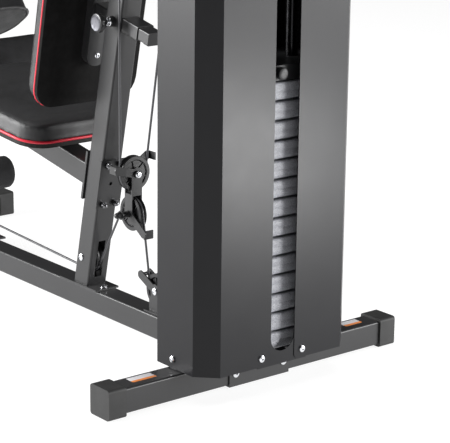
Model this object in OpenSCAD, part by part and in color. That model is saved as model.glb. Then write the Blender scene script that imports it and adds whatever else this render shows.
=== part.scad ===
// Multi station home gym: frame, weight stack, cables, seat, press arms and leg developer.
// Stations along Y are measured from the rear face of the rear foot; forwards is -Y.

/* [Frame] */
// Distance from the origin back to the rear face of the rear foot
rear_y = 651; // [640:1:670]
// Width of the square frame tube
tube_w = 50; // [50:1:52]
// Wall of the frame tube
wall = 2; // [1.5:0.5:3]
// Height of the underside of the frame tubes over the floor
lift = 5; // [4:1:6]
// Length of the rear foot over its end caps
rear_foot_l = 722; // [700:2:760]
// Length of the front foot over its end caps
front_foot_l = 560; // [500:2:640]
// Station of the front foot's rear face
front_foot_s = 1320; // [1310:1:1330]
// Lean of the upright towards the rear
lean = 12; // [11.5:0.5:12.5]
// Station of the upright's centre line at floor level
upright_s = 585; // [583:1:587]
// Height of the underside of the top beam
beam_z = 1956; // [1950:1:1962]
// Length of the top beam
beam_l = 885; // [880:1:890]
// Station of the centre of the front post
post_s = 1075; // [1074:1:1076]
// Height of the top of the front post
post_top = 510; // [505:1:515]

/* [Weight stack] */
// Number of loose weight plates
plate_n = 14; // [10:1:14]
// Height of one plate with its gap
plate_pitch = 37.6; // [37:0.1:38]
// Width of a plate
plate_w = 300; // [280:5:310]
// Depth of a plate
plate_d = 140; // [130:5:150]
// Height of the underside of the lowest plate
stack_z = 76; // [70:1:80]
// Distance of each guide rod from the middle
rod_x = 90; // [80:1:100]
// Diameter of a guide rod
rod_d = 24; // [20:1:25]

/* [Shroud] */
// Half of the width across the shroud's sides
shroud_x = 187; // [185:1:190]
// Distance of the rear face behind the rear foot
shroud_rear = 67; // [65:1:70]
// Width of a corner bevel, seen from behind
bevel = 37; // [35:1:38]
// Height of the top of the shroud
shroud_top = 1700; // [1650:10:1720]
// Thickness of the shroud sheet
sheet = 1.5; // [1:0.5:2]
// Width of the slot over the stack
slot_w = 58; // [50:1:60]

/* [Pulleys and cables] */
// Outer diameter of a pulley
pulley_d = 74; // [72:1:76]
// Radius at which a cable runs round a pulley
run_r = 33.5; // [33:0.1:34]
// Diameter of the coated cable
cable_d = 5; // [4:0.5:5]
// Station of the hanging double block
block_s = 412; // [410:1:414]
// Height of the pulley axles under the top beam
top_pulley_z = 1905; // [1903:1:1907]

/* [Seat and pads] */
// Width of the backrest
back_w = 256; // [250:1:262]
// Height of the backrest along its lean
back_h = 590; // [560:5:600]
// Thickness of the backrest with its board
back_t = 50; // [46:1:52]
// Length of the seat
seat_l = 388; // [380:1:390]
// Half of the width of the seat at its widest
seat_x = 153; // [150:1:156]
// Thickness of the seat cushion
seat_t = 48; // [46:1:50]
// Rise of the seat towards the front
seat_rise = 10; // [9.5:0.5:10.5]
// Diameter of a foam roller
foam_d = 80; // [76:1:82]

/* [Hidden] */
$fn = 64;
black = [0.07, 0.07, 0.075];
zinc = [0.8, 0.8, 0.82];
chrome = [0.85, 0.85, 0.86];
rubber = [0.05, 0.05, 0.055];
vinyl = [0.06, 0.06, 0.06];
// Heights of the block's lower and upper pulley
block_z = [248, 334];
// Station and height of the pulleys in the upright's foot, on the base tube and in the post
foot_pulley = [568, 119];
base_pulley_at = [320, 102];
front_pulley_at = [post_s, 142];
half = tube_w / 2;
tube_top = lift + tube_w;
cap_w = tube_w + 10;
cap_l = 40;
far = 3000;
upright_top = beam_z - 6;
flange_z = tube_top + 4;
mid_pulley_z = 1248;
mid_pulley_s = upright_s - mid_pulley_z * tan(lean);
mid_pulley_at = [mid_pulley_s, mid_pulley_z];
top_front_s = 826;
top_mid_s = block_s + run_r;
top_rear_s = 25 + run_r;
side_x = run_r;
wheel_w = 16;
axle_r = 5;
groove_r = run_r - cable_d / 2 - 0.5;
ear_in = wheel_w / 2 + 2;
ear_t = 3;
bore_gap = 0.05;
hole_gap = 0.25;
stack_s = 25;
head_z = stack_z + plate_n * plate_pitch;
plate_gap = 3.6;
stem_d = 22;
slot_c = -2;
slot_z = 80;
press_pivot = [300, 1650];
leg_pivot = [1170, 425];
leg_tilt = 10;
roller_z = 470;
lower_roller = 285;
leg_hook = -318;
leg_eye_s = 1179;
preacher_s = 1122.5;
preacher_z = 560;
preacher_tilt = 32;
preacher_low = 340;
adjust_low = 412;
adjust_z = 648;
sleeve_w = 40;
sleeve_h = 30;
sleeve_end = 78;
slider_w = sleeve_w - 2 * wall - 0.6;
slider_h = sleeve_h - 2 * wall - 0.6;
pin_d = 16;
press_gap = 64.3;
press_hook = -370;
arm_slope = 50;
arm_l = 375;
press_reach = press_gap - half;
post_mid_z = 351.4;
seat_rear_s = 610;
seat_z = 356;
board_gap = (seat_z + (800 - seat_rear_s) * tan(seat_rise) - post_mid_z) * cos(seat_rise) - half;

// Station of the upright's centre line at a height
function upright_at(z) = upright_s - z * tan(lean);
// A point from a station and a height
function at(s, z) = [0, -s, z];

// Coordinates that start at the rear foot
module from_rear() translate([0, rear_y, 0]) children();
// Coordinates on the upright's centre line: Z runs up along it, Y to the rear
module on_upright(z) translate(at(upright_at(z), z)) rotate([-lean, 0, 0]) children();
module along_x() rotate([0, 90, 0]) children();
module along_y() rotate([-90, 0, 0]) children();
module both_sides() {
  children();
  mirror([1, 0, 0]) children();
}

// Rectangle with round corners, made of true arcs
module round_rect(w, h, r) {
  square([w - 2 * r, h], center = true);
  square([w, h - 2 * r], center = true);
  for (x = [-1, 1], y = [-1, 1])
    translate([x * (w / 2 - r), y * (h / 2 - r)]) circle(r);
}
// Hollow tube along Z
module tube(l, w = tube_w, h = tube_w, t = wall, r = 4) {
  linear_extrude(l) difference() {
    round_rect(w, h, r);
    round_rect(w - 2 * t, h - 2 * t, max(r - t, 0.5));
  }
}
module rod_x(l, d) along_x() cylinder(l, d = d, center = true);
module rod_y(l, d) along_y() cylinder(l, d = d, center = true);

// ---- Fasteners: [place of the underside of the head, turn, clamped length]
to_rear = [-90, 0, 0];
to_side = [0, 90, 0];
up = [0, 0, 0];
frame_screws = concat(
  [for (x = [-60, 60]) [[x, 3, 28], to_rear, 56]],
  [[at(520, flange_z), up, 12]],
  [[[half, -foot_pulley[0], foot_pulley[1]], to_side, tube_w]],
  [[[half, -mid_pulley_s, mid_pulley_z], to_side, tube_w]],
  [[[half, -post_s, front_pulley_at[1]], to_side, tube_w]],
  [for (s = [120, 225]) [at(s, upright_top), [180, 0, 0], 6]],
  [for (s = [1000, 1150]) [at(s, flange_z), up, 12]]
);
shroud_screws = concat(
  [[[50, shroud_rear, 74], to_rear, 6]],
  [[[-50, shroud_rear + sheet, 74], to_rear, 7.5]],
  [for (x = [-1, 1], z = [75, 1680]) [[x * shroud_x, -31, z], [0, x * 90, 0], 6]]
);
axle_screws = [
  [[ear_in + ear_t, -base_pulley_at[0], base_pulley_at[1]], to_side, 2 * (ear_in + ear_t)],
  [[ear_in + ear_t, -top_front_s, top_pulley_z], to_side, 2 * (ear_in + ear_t)],
  [[side_x + ear_in + ear_t, -top_mid_s, top_pulley_z], to_side, 2 * (ear_in + ear_t)],
  [[ear_in + ear_t, -top_rear_s, top_pulley_z], to_side, 2 * (ear_in + ear_t)]
];
module button_head(d) {
  cylinder(1.5, d = d);
  translate([0, 0, 1.5]) intersection() {
    cylinder(3.2, d = d);
    translate([0, 0, 3.2 - d * 0.9]) sphere(d * 0.9);
  }
}
module screw(l, d, head) {
  difference() {
    button_head(head);
    translate([0, 0, 2.2]) cylinder(4, d = 5, $fn = 6);
  }
  translate([0, 0, -l]) cylinder(l, d = d);
}
module screw_holes() {
  for (s = concat(frame_screws, axle_screws))
    translate(s[0]) rotate(s[1]) translate([0, 0, -s[2] - 30])
      cylinder(s[2] + 60, d = 2 * axle_r + 2 * hole_gap);
}
module shroud_holes() {
  for (s = shroud_screws)
    translate(s[0]) rotate(s[1]) translate([0, 0, -s[2] - 2]) cylinder(s[2] + 4, d = 6.5);
}
module drilled() difference() {
  children();
  screw_holes();
}
module zinc_screws() color(zinc) from_rear() {
  for (s = concat(frame_screws, axle_screws))
    translate(s[0]) rotate(s[1]) screw(s[2], 2 * axle_r, 15);
  for (s = shroud_screws)
    translate(s[0]) rotate(s[1]) screw(s[2], 6, 13);
}
module frame_nuts() color(black) from_rear() {
  for (p = [foot_pulley, mid_pulley_at, front_pulley_at])
    translate([-half, -p[0], p[1]]) rotate([0, -90, 0]) cap_nut();
  for (x = [-15, 15], z = [-45, 45])
    on_upright(300) translate([x, half + 4, z]) along_y() cap_nut();
}
// Domed nut over a bolt's end
module cap_nut() {
  cylinder(9, d = 15, $fn = 6);
  translate([0, 0, 9]) cylinder(1, d = 12);
  translate([0, 0, 9]) sphere(d = 12);
}

// ---- Base frame
module foot_caps(l) both_sides() translate([l / 2 - cap_l, 0, 0]) difference() {
  along_x() translate([-cap_w / 2, 0, 0]) linear_extrude(cap_l) round_rect(cap_w, cap_w, 6);
  translate([-1, 0, lift + tube_w / 2]) along_x() linear_extrude(cap_l - 4)
    round_rect(tube_w, tube_w, 4);
}
module foot_tube(l) translate([0, 0, lift + tube_w / 2]) along_x()
  translate([0, 0, -l / 2 + 5]) tube(l - 10);
module rear_foot() color(black) from_rear() drilled()
  translate([0, -half, 0]) foot_tube(rear_foot_l);
module front_foot() color(black) from_rear() translate([0, -front_foot_s - half, 0])
  foot_tube(front_foot_l);
module end_caps() color(rubber) from_rear() {
  translate([0, -half, 0]) foot_caps(rear_foot_l);
  translate([0, -front_foot_s - half, 0]) foot_caps(front_foot_l);
  beam_caps();
}
// Saddle that clamps the base tube's end to the rear foot
module foot_bracket() color(black) from_rear() drilled() {
  translate([-75, 0, 2]) cube([150, 3, 48]);
  translate([-75, -tube_w, 2]) cube([150, tube_w, 3]);
}
module base_tube() color(black) from_rear() drilled()
  translate([0, -front_foot_s, lift + half]) along_y() tube(front_foot_s - tube_w);
// Slot right through a post for a pulley, with its cheeks
module wheel_slot(p, h) translate(at(p[0], p[1]))
  translate([-wheel_w / 2 - 1, -60, -h / 2]) cube([wheel_w + 2, 120, h]);
module upright() color(black) from_rear() drilled() difference() {
  union() {
    intersection() {
      on_upright(1000) translate([0, 0, -1100]) tube(2200);
      translate([-50, -700, flange_z]) cube([100, 700, upright_top - flange_z]);
    }
    translate([-30, -644, tube_top]) cube([60, 136, 4]);
    on_press() for (x = [-half, half - 4]) translate([x, -18, -18])
      cube([4, press_reach + 18, 36]);
  }
  on_press() rod_x(80, pin_d + 2 * bore_gap);
  wheel_slot(foot_pulley, 84);
  wheel_slot(mid_pulley_at, 88);
  on_upright(adjust_z) translate([0, -60, 0]) along_y() linear_extrude(120)
    square([sleeve_w, sleeve_h], center = true);
  on_upright(adjust_z) translate([10, 0, 0]) along_x() cylinder(40, d = 9);
}
// Sleeve through the upright, with the collar of its pull pin
module backrest_sleeve() color(black) from_rear() on_upright(adjust_z) difference() {
  union() {
    translate([0, -half, 0]) along_y() tube(half + sleeve_end, sleeve_w, sleeve_h, wall, 3);
    translate([half, 0, 0]) along_x() cylinder(8, d = 22);
  }
  translate([10, 0, 0]) along_x() cylinder(40, d = 9);
}
module backing_plate() color(black) from_rear() on_upright(300) difference() {
  translate([-31, half, -54]) cube([62, 4, 108]);
  for (x = [-15, 15], z = [-45, 45]) translate([x, half + 2, z]) rod_y(10, 9);
  translate([0, half + 2, 0]) rod_y(10, 8);
}
// Seat post with the plate that bolts to the upright
module seat_post() color(black) from_rear() {
  on_upright(300) translate([-29, -half - 6, -55]) cube([58, 6, 110]);
  difference() {
    translate(at(800, post_mid_z)) rotate([90 - seat_rise, 0, 0]) translate([0, 0, -350])
      tube(700);
    on_upright(300) translate([-60, -half - 6, -300]) cube([120, 700, 700]);
    translate([-60, -far - post_s + half, 0]) cube([120, far - tube_w, 900]);
    translate([-60, -post_s - half, 0]) cube([120, tube_w, 900]);
  }
}
module front_post() color(black) from_rear() drilled() difference() {
  union() {
    translate([-40, -post_s - 100, tube_top]) cube([80, 200, 4]);
    translate(at(post_s, flange_z)) tube(post_top - flange_z);
    for (x = [-half, half - 4]) translate([x, -leg_pivot[0] - 20, leg_pivot[1] - 30])
      cube([4, leg_pivot[0] + 30 - post_s - half, 50]);
    translate([0, -preacher_s, leg_pivot[1] + 15]) tube(45, 47, 47, 3.9, 4);
  }
  wheel_slot(front_pulley_at, 110);
  translate(at(post_s, roller_z)) rod_x(80, 25.4);
  translate(at(leg_pivot[0], leg_pivot[1])) rod_x(80, pin_d + 2 * bore_gap);
  translate(at(preacher_s, adjust_low)) translate([20, 0, 0]) rod_x(20, 9);
}

// ---- Top beam and the pulleys under it
module top_beam() color(black) from_rear() union() {
  translate([0, -beam_l, beam_z + half]) along_y() tube(beam_l);
  translate([-35, -250, beam_z - 6]) difference() {
    cube([70, 160, 6]);
    translate([35, 25, -1]) cylinder(8, d = 10.5);
    translate([35, 130, -1]) cylinder(8, d = 10.5);
  }
}
module beam_caps() for (y = [0, -beam_l])
  translate([0, y, beam_z + half]) rotate([y < 0 ? 90 : -90, 0, 0]) {
    linear_extrude(4) round_rect(tube_w, tube_w, 4);
    translate([0, 0, -12]) linear_extrude(12) round_rect(tube_w - 5, tube_w - 5, 2);
  }
module bracket_ears(low) for (x = [-ear_in - ear_t, ear_in])
  translate([x, -14, low]) cube([ear_t, 28, beam_z - 4 - low]);
module top_brackets() color(black) from_rear() drilled() {
  for (p = [[0, top_front_s], [side_x, top_mid_s]]) translate([p[0], -p[1], 0]) {
    bracket_ears(top_pulley_z - 14);
    translate([-ear_in - ear_t, -25, beam_z - 4]) cube([2 * ear_in + 2 * ear_t, 50, 4]);
  }
  translate([0, -top_rear_s, 0]) {
    bracket_ears(top_pulley_z - 14);
    translate([-ear_in - ear_t, -25, beam_z - 4]) cube([2 * ear_in + 2 * ear_t, 39, 4]);
  }
}
module rod_top_plate() difference() {
  translate([-120, -44, beam_z - 6]) cube([240, 38, 6]);
  for (x = [-rod_x, rod_x]) translate([x, -stack_s, beam_z - 10]) cylinder(20, d = 9);
}

// ---- Pulleys
// Grooved wheel with a bore, on the X axis
module wheel() along_x() rotate_extrude() difference() {
  translate([axle_r + bore_gap, -wheel_w / 2]) square([pulley_d / 2 - axle_r - bore_gap, wheel_w]);
  polygon([
    [pulley_d / 2 + 1, -6.4], [groove_r + 2.2, -3], [groove_r, -2.2],
    [groove_r, 2.2], [groove_r + 2.2, 3], [pulley_d / 2 + 1, 6.4]
  ]);
  for (y = [-1, 1]) translate([19, y * wheel_w / 2]) square([17, 7], center = true);
}
module wheel_at(p, x = 0) color(rubber) from_rear() translate([x, -p[0], p[1]]) wheel();
module foot_pulley_wheel() wheel_at(foot_pulley);
module base_pulley_wheel() wheel_at(base_pulley_at);
module mid_pulley_wheel() wheel_at(mid_pulley_at);
module front_pulley_wheel() wheel_at(front_pulley_at);
module top_front_wheel() wheel_at([top_front_s, top_pulley_z]);
module top_mid_wheel() wheel_at([top_mid_s, top_pulley_z], side_x);
module top_rear_wheel() wheel_at([top_rear_s, top_pulley_z]);
module block_lower_wheel() wheel_at([block_s, block_z[0]]);
module block_upper_wheel() color(rubber) from_rear() translate(at(block_s, block_z[1]))
  rotate([0, 0, 90]) wheel();
// Flat link between two points, seen along X
module link(a, b, r) hull() {
  translate(a) circle(r, $fn = 32);
  translate(b) circle(r, $fn = 32);
}
// Plate in the YZ plane, given as [y, z] outlines
module side_plate(x) translate([x, 0, 0]) rotate([90, 0, 90]) linear_extrude(ear_t) children();
module base_bracket() color(black) from_rear() drilled() translate(at(base_pulley_at[0], 0)) {
  for (x = [-ear_in - ear_t, ear_in]) side_plate(x) {
    link([0, base_pulley_at[1]], [0, tube_top + 16], 15);
    link([0, base_pulley_at[1]], [-50, 126], 9);
    translate([-20, tube_top + 3]) square([40, 30]);
  }
  translate([-20, -30, tube_top]) cube([40, 60, 3]);
  translate([0, -50, 126]) rod_x(2 * ear_in, 8);
}
// Double block: the upper wheel turns about Y and the lower one about X
module block_bracket() color(black) from_rear() translate(at(block_s, 0)) {
  block_ear(ear_in, 46, 12);
  block_ear(-ear_in - ear_t, -44, 30);
  translate([50, -ear_in, block_z[1] + 4]) cube([3, 2 * ear_in + ear_t, 16]);
  translate([-51, -ear_in - ear_t, block_z[1] + 22]) cube([3, 2 * ear_in + ear_t, 16]);
  translate([-13, -ear_in - ear_t, block_z[1] - 46]) cube([26, 2 * ear_in + 2 * ear_t, 3]);
  for (x = [-ear_in - ear_t, ear_in]) side_plate(x) difference() {
    union() {
      translate([-13, block_z[0]]) square([26, 39.5]);
      link([0, block_z[0]], x > 0 ? [50, block_z[0] - 33] : [0, block_z[0]], x > 0 ? 9 : 13);
    }
    translate([0, block_z[0]]) circle(axle_r + bore_gap);
  }
  translate([-ear_in, 53, block_z[0] - 44]) cube([2 * ear_in + ear_t, 3, 18]);
  translate([-ear_in - ear_t, -13, block_z[0] + 39.5]) cube([2 * ear_in + 2 * ear_t, 26, 0.5]);
  translate([0, 0, block_z[0]]) {
    block_axle(to_side);
    translate([ear_in + ear_t, 0, 0]) along_x() {
      cylinder(20, d = 13);
      translate([0, 0, 18]) cylinder(2, d = 20);
      translate([0, 0, 20]) cap_nut();
    }
  }
  translate([0, 0, block_z[1]]) block_axle(to_rear);
}
// Ear of the upper wheel with the arm that carries its cable guard
module block_ear(y, x, z) translate([0, y + ear_t, block_z[1]]) rotate([90, 0, 0])
  linear_extrude(ear_t) difference() {
    union() {
      link([0, 0], [x, z], 9);
      circle(13);
      translate([-13, -43]) square([26, 43]);
    }
    circle(axle_r + bore_gap);
  }
module block_axle(turn) rotate(turn) {
  translate([0, 0, -ear_in - ear_t]) cylinder(2 * ear_in + 2 * ear_t, r = axle_r);
  translate([0, 0, ear_in + ear_t]) cylinder(5, d = 15);
  translate([0, 0, -ear_in - ear_t - 7]) cylinder(7, d = 15, $fn = 6);
}

// ---- Cables: tubes swept along routes in stations [x, y, z]
cable_sides = 8;
function unit(v) = v / norm(v);
function turn_at(p, i) = let(a = p[max(i - 1, 0)], b = p[min(i + 1, len(p) - 1)]) unit(b - a);
function sideways(t) = abs(t[0]) > 0.7 ? unit(cross(t, [0, 1, 0])) : unit(cross(t, [1, 0, 0]));
function ring(p, i) = let(t = turn_at(p, i), u = sideways(t), v = cross(t, u))
  [for (k = [0:cable_sides - 1]) let(a = 360 * k / cable_sides)
    p[i] + cable_d / 2 * (cos(a) * u + sin(a) * v)];
module cable(p) {
  n = cable_sides;
  m = len(p);
  polyhedron(
    points = [for (i = [0:m - 1]) each ring(p, i)],
    faces = concat(
      [[for (k = [0:n - 1]) k]],
      [for (i = [0:m - 2], k = [0:n - 1])
        [i * n + k, (i + 1) * n + k, (i + 1) * n + (k + 1) % n, i * n + (k + 1) % n]],
      [[for (k = [n - 1:-1:0]) (m - 1) * n + k]]
    )
  );
}
arc_step = 12;
// Arc round a wheel on the X axis; angles from the rear (+Y) up
function arc_x(p, a, b, x = 0) = let(n = ceil(abs(b - a) / arc_step))
  [for (i = [0:n]) let(t = a + (b - a) * i / n)
  [x, -p[0] + run_r * cos(t), p[1] + run_r * sin(t)]];
// Angle of the crossed tangent between wheels p and q
function cross_angle(p, q, side) = let(d = [p[0] - q[0], q[1] - p[1]])
  atan2(d[1], d[0]) + side * acos(2 * run_r / norm(d));
block_low = [block_s, block_z[0]];
front_leave = cross_angle(block_low, foot_pulley, -1);
rear_leave = cross_angle(block_low, base_pulley_at, 1);
run_tilt = asin((front_pulley_at[1] - foot_pulley[1]) / (front_pulley_at[0] - foot_pulley[0]));
stop_s = post_s + half + 6;
press_hook_z = mid_pulley_z + run_r;
press_hook_s = upright_at(press_hook_z) + half + 9;
module high_cable() color(rubber) from_rear() {
  cable(concat(
    arc_x([top_mid_s, top_pulley_z], 0, 84, side_x),
    [[side_x * 0.9, -top_mid_s - 30, top_pulley_z + run_r],
     [side_x * 0.1, -top_front_s + 40, top_pulley_z + run_r]],
    arc_x([top_front_s, top_pulley_z], 90, 180)
  ));
  cable(arc_x([top_rear_s, top_pulley_z], 0, 180));
}
module low_cable() color(rubber) from_rear() {
  cable(concat(
    arc_x(foot_pulley, front_leave + 180, -90 - run_tilt),
    arc_x(front_pulley_at, -90 - run_tilt, -90),
    [at(stop_s, front_pulley_at[1] - run_r)]
  ));
  cable(concat(
    arc_x(base_pulley_at, rear_leave + 180, 360),
    arc_x(mid_pulley_at, 0, 90),
    [at(press_hook_s, press_hook_z)]
  ));
}
module lat_cable() color(rubber) from_rear()
  cable([at(top_front_s + run_r, top_pulley_z - 0.5), at(top_front_s + run_r, 1841)]);
module stack_cable() color(rubber) from_rear()
  cable([at(stack_s, top_pulley_z - 0.5), at(stack_s, head_z + 79)]);
module block_cables() color(rubber) from_rear() {
  block_high = at(block_s, block_z[1]);
  cable(concat(
    [[side_x, -block_s, top_pulley_z - 0.5]],
    [for (t = [0:arc_step:180])
      block_high + run_r * [cos(t), 0, -sin(t)]],
    [block_high + [-run_r, 0.6, 20]],
    [[0, -top_rear_s - run_r, top_pulley_z - 0.5]]
  ));
  cable(concat(
    [arc_x(foot_pulley, front_leave + 180, 0)[0] + [0, 0.2, 0.2]],
    arc_x(block_low, front_leave + 360, rear_leave),
    [arc_x(base_pulley_at, rear_leave + 180, 0)[0] + [0, -0.2, 0.2]]
  ));
}

// ---- Weight stack
module guide_rods() color(black) from_rear() for (x = [-rod_x, rod_x])
  translate([x, -stack_s, tube_top]) cylinder(beam_z - 6 - tube_top, d = rod_d);
module rod_plates() color(black) from_rear() {
  rod_top_plate();
  rod_brace();
}
// Brace that holds the rods apart and the shroud's top to them
module rod_brace() difference() {
  union() {
    translate([-shroud_x + sheet, -44, 1668]) cube([2 * shroud_x - 2 * sheet, 38, 4]);
    for (x = [-1, 1]) translate([x * (shroud_x - sheet - 1.5) - 1.5, -44, 1672])
      cube([3, 38, 20]);
  }
  for (x = [-rod_x, rod_x]) translate([x, -stack_s, 1660]) cylinder(20, d = rod_d + 0.5);
  translate([0, -stack_s, 1660]) cylinder(20, d = 40);
  shroud_holes();
}
module stack_bumpers() color(rubber) from_rear() for (x = [-rod_x, rod_x])
  translate([x, -stack_s, tube_top]) difference() {
    cylinder(stack_z - tube_top, d = 48);
    translate([0, 0, -1]) cylinder(stack_z, d = rod_d + 0.5);
  }
module plate_bores(h) {
  for (x = [-rod_x, rod_x]) translate([x, 0, -1]) cylinder(h + 2, d = rod_d + 2);
  translate([0, 0, -1]) cylinder(h + 2, d = stem_d + 3);
}
module weight_plates() color(black) from_rear() for (i = [0:plate_n - 1])
  translate([0, -stack_s, stack_z + i * plate_pitch]) difference() {
    union() {
      linear_extrude(plate_pitch - plate_gap) round_rect(plate_w, plate_d, 5);
      translate([0, 0, plate_pitch - plate_gap]) linear_extrude(plate_gap - 0.1)
        round_rect(plate_w - 20, plate_d - 24, 8);
    }
    plate_bores(plate_pitch);
    translate([0, plate_d / 2, 17]) rod_y(plate_d, 12);
  }
module top_plate() color(black) from_rear() translate([0, -stack_s, head_z]) difference() {
  linear_extrude(28) round_rect(plate_w, plate_d, 5);
  for (x = [-rod_x, rod_x]) translate([x, 0, -1]) cylinder(40, d = rod_d + 2);
  translate([0, 0, -1]) cylinder(40, d = stem_d);
  translate([0, plate_d / 2, 14]) rod_y(plate_d, 11);
}
module selector_rod() color(black) from_rear() translate([0, -stack_s, 0]) {
  difference() {
    translate([0, 0, stack_z + 6]) cylinder(head_z + 28 - stack_z - 6, d = stem_d);
    for (i = [0:plate_n]) translate([0, 0, stack_z + i * plate_pitch + (i < plate_n ? 17 : 14)])
      rod_y(40, 11);
  }
  translate([0, 0, head_z + 28]) cylinder(5, d = 30, $fn = 6);
  translate([0, 0, head_z + 33]) cylinder(30, d = 14);
  translate([0, 0, head_z + 63]) cylinder(16, d = 10);
}
module selector_pin() color(rubber) from_rear() translate([0, -stack_s, head_z + 14]) {
  translate([0, -9, 0]) along_y() cylinder(plate_d / 2 + 9.5, d = 9.5);
  translate([0, plate_d / 2 + 0.5, 0]) along_y() cylinder(14, d = 24);
}

// ---- Shroud of folded sheet, open at the slot
function outline(x, rear, t) = let(k = t * tan(22.5), front = rear - 184)
  [[x - bevel - k, rear - t], [x - t, rear - bevel - k],
   [x - t, front + bevel + k], [x - bevel - k, front + t]];
module half_shroud(rear, edge) {
  a = outline(shroud_x, rear, 0);
  b = outline(shroud_x, rear, sheet);
  linear_extrude(shroud_top - 57) polygon(concat(
    [[edge, rear]], a, [[33, rear - 184], [33, rear - 184 + sheet]],
    [for (i = [3:-1:0]) b[i]], [[edge, rear - sheet]]
  ));
}
module slot_cut() {
  r = slot_w / 2;
  translate([slot_c - r, 0, slot_z + r]) cube([slot_w, 100, shroud_top]);
  translate([slot_c, 50, slot_z + r]) rod_y(100, slot_w);
}
module shroud_left() color(black) from_rear() difference() {
  union() {
    translate([0, 0, 57]) half_shroud(shroud_rear, 27);
    translate([-62, shroud_rear - sheet, 57]) cube([89, sheet, 60]);
    translate([-62, shroud_rear - sheet, 54.5]) cube([121, sheet, 2.5]);
  }
  slot_cut();
  shroud_holes();
}
module shroud_right() color(black) from_rear() difference() {
  translate([0, 0, 57]) mirror([1, 0, 0]) half_shroud(shroud_rear + sheet, 31);
  translate([-31, 60, 57]) difference() {
    translate([-10, 0, -1]) cube([11, 20, 11]);
    translate([-10, 10, 10]) rod_y(22, 20);
  }
  shroud_holes();
}
module shroud_tabs() color(black) from_rear() difference() {
  union() {
    for (x = [-60, 40]) {
      translate([x, -30, tube_top]) cube([20, 93.9, 2]);
      translate([x, 62, tube_top]) cube([20, 1.9, 32]);
    }
    for (x = [-1, 1]) {
      translate([x * 153 - 32.4, -41, tube_top]) cube([64.8, 20, 2]);
      translate([x * 184.4 - 1, -41, tube_top]) cube([2, 20, 34]);
    }
  }
  shroud_holes();
}

// ---- Lat bar
bar_s = top_front_s + run_r;
bar_z = 1765;
bar_half = 330;
bar_drop = 30;
bar_end = 190;
module lat_bar() color(chrome) from_rear() translate(at(bar_s, bar_z)) {
  rod_x(2 * bar_half, 25);
  both_sides() translate([bar_half, 0, 0]) {
    sphere(d = 25);
    rotate([0, 90 + bar_drop, 0]) cylinder(bar_end, d = 25);
  }
  translate([0, 0, 12]) cylinder(10, d = 14);
  translate([0, 0, 40]) along_y() difference() {
    cylinder(7, d = 40, center = true);
    cylinder(9, d = 26, center = true);
  }
  translate([0, 0, 59]) cylinder(17, d = 14);
}
module lat_grips() color(rubber) from_rear() translate(at(bar_s, bar_z)) both_sides()
  translate([bar_half, 0, 0]) rotate([0, 90 + bar_drop, 0]) translate([0, 0, 50]) difference() {
    cylinder(bar_end - 46, d = 33);
    translate([0, 0, -1]) cylinder(bar_end - 49, d = 25);
  }

// ---- Backrest on its sliding tube
module strap_outline(r) {
  square([2 * r, strap_l - 50], center = true);
  for (y = [-1, 1]) translate([0, y * (strap_l - 50) / 2]) circle(r);
}
strap_l = 330;
strap_y = -half - 47;
strap_d = 21;
module backrest_frame() color(black) from_rear() on_upright(adjust_z) difference() {
  union() {
    translate([0, strap_y, 0]) along_y()
      tube(sleeve_end + 22 - strap_y, slider_w, slider_h, wall, 2.5);
    translate([0, sleeve_end + 22, 0]) along_y() linear_extrude(14)
      round_rect(slider_w + 2, slider_h + 2, 3);
    translate([0, strap_y, strap_l / 2 - 128]) rotate([90, 0, 0]) difference() {
      linear_extrude(strap_d) strap_outline(25);
      translate([0, 0, 2]) linear_extrude(strap_d) strap_outline(23);
    }
  }
  for (y = [-20, 0, 20]) translate([10, y, 0]) along_x() cylinder(40, d = 9);
}
module backrest_pad() color(vinyl) from_rear() on_upright(adjust_z)
  translate([0, strap_y - strap_d, back_h / 2 - 220]) rotate([90, 0, 0])
    linear_extrude(back_t) round_rect(back_w, back_h, 45);
module pull_pin(tip) {
  along_x() cylinder(46 - tip, d = 8);
  translate([46 - tip, 0, 0]) along_x() cylinder(16, d = 30);
  translate([62 - tip, 0, 0]) along_x() cylinder(6, d = 41);
}
module backrest_pin() color(rubber) from_rear() on_upright(adjust_z)
  translate([18.2, 0, 0]) pull_pin(18.2);

// ---- Seat
module seat_outline(grow) {
  r = 62;
  hull() {
    for (x = [-1, 1]) {
      translate([x * (132 + grow - r), -r + grow]) circle(r, $fn = 32);
      translate([x * (seat_x + grow - r), -seat_l / 2]) circle(r, $fn = 32);
      translate([x * (seat_x - 8 + grow - r), r - seat_l - grow]) circle(r, $fn = 32);
    }
  }
}
module on_seat() translate(at(seat_rear_s, seat_z)) rotate([-seat_rise, 0, 0]) children();
module seat_board() color(black) from_rear() on_seat() {
  linear_extrude(12) seat_outline(-6);
  for (y = [-120, -300]) translate([-40, y, -board_gap]) cube([80, 50, board_gap]);
}
module seat_pad() color(vinyl) from_rear() on_seat() translate([0, 0, 12])
  linear_extrude(seat_t) seat_outline(0);

// ---- Press arms
module on_press() translate(at(press_pivot[0], press_pivot[1])) rotate([-lean, 0, 0]) children();
module press_frame() color(black) from_rear() on_press() {
  difference() {
    translate([0, 0, -530]) tube(555, 40, 40, wall, 3);
    translate([0, 0, press_hook]) rod_y(60, 10);
  }
  rod_x(tube_w + 8, pin_d);
  translate([-240, -40, -510]) along_x() tube(480, 40, 40, wall, 3);
  translate([0, -24, press_hook]) along_y() cylinder(53, d = 9.5);
  translate([0, 20, press_hook]) along_y() cylinder(8, d = 16);
}
module press_arm_frame() translate([220, -60, -510]) rotate([90 + arm_slope, 0, 0]) children();
module press_arms() color(black) from_rear() both_sides() on_press() difference() {
  press_arm_frame() translate([0, 0, -60]) tube(arm_l + 60, 40, 40, wall, 3);
  translate([150, -60, -700]) cube([150, 200, 400]);
}
module press_grips() color(rubber) from_rear() both_sides() on_press() press_arm_frame() {
  translate([0, 0, arm_l]) linear_extrude(4) round_rect(40, 40, 3);
  translate([-20, 0, arm_l - 28]) rotate([0, -90, 0]) cylinder(120, d = 32);
}

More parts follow.
